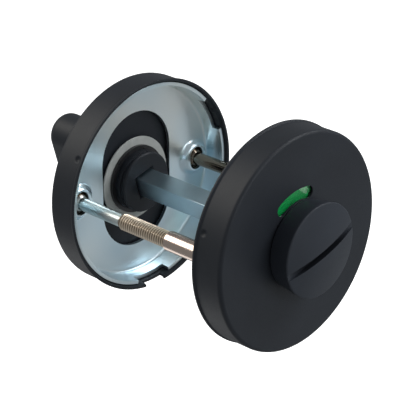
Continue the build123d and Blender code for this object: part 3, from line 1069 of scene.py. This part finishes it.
class LOCK_OT_release_button(bpy.types.Operator):
    """Model the release button with its domed face and coin slot."""

    bl_idname = "lock.release_button"
    bl_label = "Release Button"

    def execute(self, context):
        sizes = context.scene.lock_turn
        end = RELEASE_BUTTON[1].y
        base = OUTSIDE_COVER[0].y - sizes.gap
        rim = OUTSIDE_COVER[0].y - sizes.button_height
        dome = sizes.button_dome
        top = rim - dome
        ball = (sizes.button_rim ** 2 + dome ** 2) / (2 * dome)
        clip = (BUTTON_CLIP[1].y, BUTTON_CLIP[0].y)
        steps = 24
        crown = []
        for step in range(1, steps):
            radius = sizes.button_rim * (1 - step / steps)
            crown.append((radius, top + ball - sqrt(ball ** 2 - radius ** 2), 0))
        button = lathe("release_button_body", bent([
            *neck_section(-1, end, clip, base, sizes),
            (sizes.button_base, base, 0.15 * MM),
            (sizes.button_rim, rim, sizes.button_edge),
            *crown,
            (0, top, 0),
        ]), round_angles(NECK_STEPS))
        half = sizes.slot_width / 2
        outline = turned(rectangle(2 * sizes.button_rim, half), sizes.set_angle)
        slot = prism("coin slot", outline, top - PAST, rim)
        socket = socket_cutters(-1, end, sizes.button_socket, sizes)
        join_solids(button, [slot, *socket], "DIFFERENCE")
        soften(button, 0.12 * MM)
        # Painted light: the button's coat is a lighter copy of the black coat, for the light its
        # dome catches
        black = scaled(context.scene.lock_finish.black, 1.5)
        material = slotted_coat("button coat", black, half, rim, sizes.button_rim, sizes.set_angle)
        dress(button, material, "turning", "black_coat", "release_button")
        return {"FINISHED"}


def carry_over(node, material):
    """Gives a CAD node that keeps its shape its material."""
    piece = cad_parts[node]
    piece.data.materials.clear()
    piece.data.materials.append(material)


class LOCK_OT_washers(bpy.types.Operator):
    """Model the flat washer and finish the circlips, bushes and spring washers."""

    bl_idname = "lock.washers"
    bl_label = "Washers and Clips"

    def execute(self, context):
        sizes = context.scene.lock_turn
        colours = context.scene.lock_finish
        near = TURN_WASHER[0].y
        far = TURN_WASHER[1].y
        outer = TURN_WASHER[1].x
        bore = sizes.neck + sizes.washer_play
        washer = lathe("turn_washer_ring", bent([
            (bore, near, 0.05 * MM),
            (outer, near, 0.12 * MM),
            (outer, far, 0.12 * MM),
            (bore, far, 0.05 * MM),
        ]), round_angles(WASHER_STEPS))
        material = moulding("washer plastic", colours.washer, 0.45, 0.6)
        dress(washer, material, "turning", "pale_washer", "turn_washer")
        steel = plating("spring steel", (0.5, 0.5, 0.52), (0.42, 0.42, 0.44), 0.25, 0.4)
        carried = {
            "circlip": moulding("black oxide", (0.02, 0.02, 0.022), 0.25, 0.4),
            "bush": moulding("black nylon", (0.015, 0.015, 0.016), 0.4, 0.55),
            "spring_washer": steel,
        }
        for node, material in carried.items():
            carry_over("turn_" + node, material)
            carry_over("button_" + node, material)
        return {"FINISHED"}


class LOCK_OT_indicator(bpy.types.Operator):
    """Finish the indicator disc and model its lens."""

    bl_idname = "lock.indicator"
    bl_label = "Indicator"

    def execute(self, context):
        scene = context.scene
        window = scene.lock_window
        colours = scene.lock_finish
        green = pi / 2 + window.green_turn
        ink = sector_print("indicator print", colours.green, colours.red, green)
        carry_over("indicator_disc", ink)
        front = OUTSIDE_COVER[0].y + window.recess
        shoulder = OUTSIDE_COVER[0].y + scene.lock_rose.sheet
        sunk = shoulder + 0.1 * MM
        body = prism("window_lens_clear", window_outline(scene, -window.play), front, sunk)
        flange = prism("flange", window_outline(scene, window.flange), shoulder, LENS[1].y)
        join_solids(body, [flange], "UNION")
        soften(body, 0.12 * MM, 3)
        dress(body, clear_lens("clear lens"), "fixed", "clear_lens", "window_lens")
        return {"FINISHED"}


# Stage

CAMERA_PLACE = Vector((-255.91, -243.74, 160.26)) * MM
CAMERA_LOOK = Vector((0.6572, 0.6316, -0.4113))
CAMERA_LENS = 148.55
CAMERA_SENSOR = 36.0
FLOOR_SIZE = 3.0
FLOOR_DROP = 0.03
FLOOR_GLOW = 0.8
SKY = (0.93, 0.97, 1, 1)
SKY_STRENGTH = 0.3
LIGHTS = (
    ("left box", (-0.42, 0.60, 0.62), (0.6, 0.6), 5, (1, 0.96, 0.89)),
    ("front box", (0.1, -0.9, 0.3), (0.7, 0.5), 2.5, (0.92, 0.96, 1)),
    ("low card", (0.72, -0.32, -0.48), (0.5, 0.5), 0.35, (0.92, 0.97, 1)),
    ("right box", (0.27, -0.20, 0.30), (0.2, 0.2), 0.9, (0.95, 0.97, 1)),
    ("back card", (-0.10, 0.50, -0.62), (0.35, 0.35), 0.45, (1, 1, 1)),
)


def soft_light(name, place, size, power, shade):
    """A soft box at a place that faces the lock."""
    data = bpy.data.lights.new(name, "AREA")
    data.shape = "RECTANGLE"
    data.size, data.size_y = size
    data.energy = power
    data.color = shade
    light = bpy.data.objects.new(name, data)
    light.location = place
    light.visible_camera = False
    light.rotation_euler = (-Vector(place)).to_track_quat("-Z", "Y").to_euler()
    bpy.context.scene.collection.objects.link(light)


class LOCK_OT_stage(bpy.types.Operator):
    """Set up the floor, the soft lights and the camera."""

    bl_idname = "lock.stage"
    bl_label = "Stage"

    def execute(self, context):
        scene = context.scene
        scene.view_settings.view_transform = "Standard"
        mesh = bmesh.new()
        bmesh.ops.create_grid(mesh, x_segments=1, y_segments=1, size=FLOOR_SIZE)
        floor = new_piece("floor", mesh)
        floor.location.z = CAD_BOX[0][2] - FLOOR_DROP
        material, tree, shader, place = node_material("floor paper")
        grain = noise(tree, place, 300, 2)
        colours = scene.lock_finish.floor
        tone = blend_colour(tree, span(tree, grain, 0, 1), scaled(colours, 0.99), colours)
        tree.links.new(tone, shader.inputs["Base Color"])
        tree.links.new(tone, shader.inputs["Emission Color"])
        shader.inputs["Emission Strength"].default_value = FLOOR_GLOW
        shader.inputs["Roughness"].default_value = 0.9
        floor.data.materials.append(material)
        floor.visible_glossy = False
        floor.visible_diffuse = False
        floor.visible_shadow = False

        world = bpy.data.worlds.new("studio")
        scene.world = world
        world.use_nodes = True
        background = world.node_tree.nodes["Background"]
        background.inputs["Color"].default_value = SKY
        background.inputs["Strength"].default_value = SKY_STRENGTH
        for light in LIGHTS:
            soft_light(*light)

        data = bpy.data.cameras.new("camera")
        data.sensor_width = CAMERA_SENSOR
        data.lens = CAMERA_LENS
        camera = bpy.data.objects.new("camera", data)
        camera.location = CAMERA_PLACE
        camera.rotation_euler = CAMERA_LOOK.to_track_quat("-Z", "Y").to_euler()
        scene.collection.objects.link(camera)
        scene.camera = camera
        return {"FINISHED"}


class LOCK_PT_panel(bpy.types.Panel):
    """Steps that build the lock."""

    bl_idname = "LOCK_PT_panel"
    bl_label = "Thumb Turn Lock"
    bl_space_type = "VIEW_3D"
    bl_region_type = "UI"
    bl_category = "Lock"

    def draw(self, context):
        for step in STEPS:
            self.layout.operator(step.bl_idname)


GROUPS = {
    "lock_rose": RoseSizes,
    "lock_plate": PlateSizes,
    "lock_bolts": BoltSizes,
    "lock_turn": TurnSizes,
    "lock_window": WindowSizes,
    "lock_finish": Finishes,
}
STEPS = (
    LOCK_OT_inside_cover,
    LOCK_OT_outside_cover,
    LOCK_OT_base_plates,
    LOCK_OT_screws,
    LOCK_OT_sleeves,
    LOCK_OT_spindle,
    LOCK_OT_thumb_turn,
    LOCK_OT_release_button,
    LOCK_OT_washers,
    LOCK_OT_indicator,
    LOCK_OT_stage,
)


def register():
    """Registers the sizes, the steps and the panel."""
    for name, group in GROUPS.items():
        bpy.utils.register_class(group)
        setattr(bpy.types.Scene, name, bpy.props.PointerProperty(type=group))
    for step in STEPS:
        bpy.utils.register_class(step)
    bpy.utils.register_class(LOCK_PT_panel)


def unregister():
    """Takes back what register does, in reverse."""
    bpy.utils.unregister_class(LOCK_PT_panel)
    for step in reversed(STEPS):
        bpy.utils.unregister_class(step)
    for name, group in reversed(GROUPS.items()):
        delattr(bpy.types.Scene, name)
        bpy.utils.unregister_class(group)


def main():
    """Builds the lock."""
    register()
    for step in STEPS:
        getattr(bpy.ops.lock, step.bl_idname.removeprefix("lock."))()


if __name__ == "__main__":
    main()
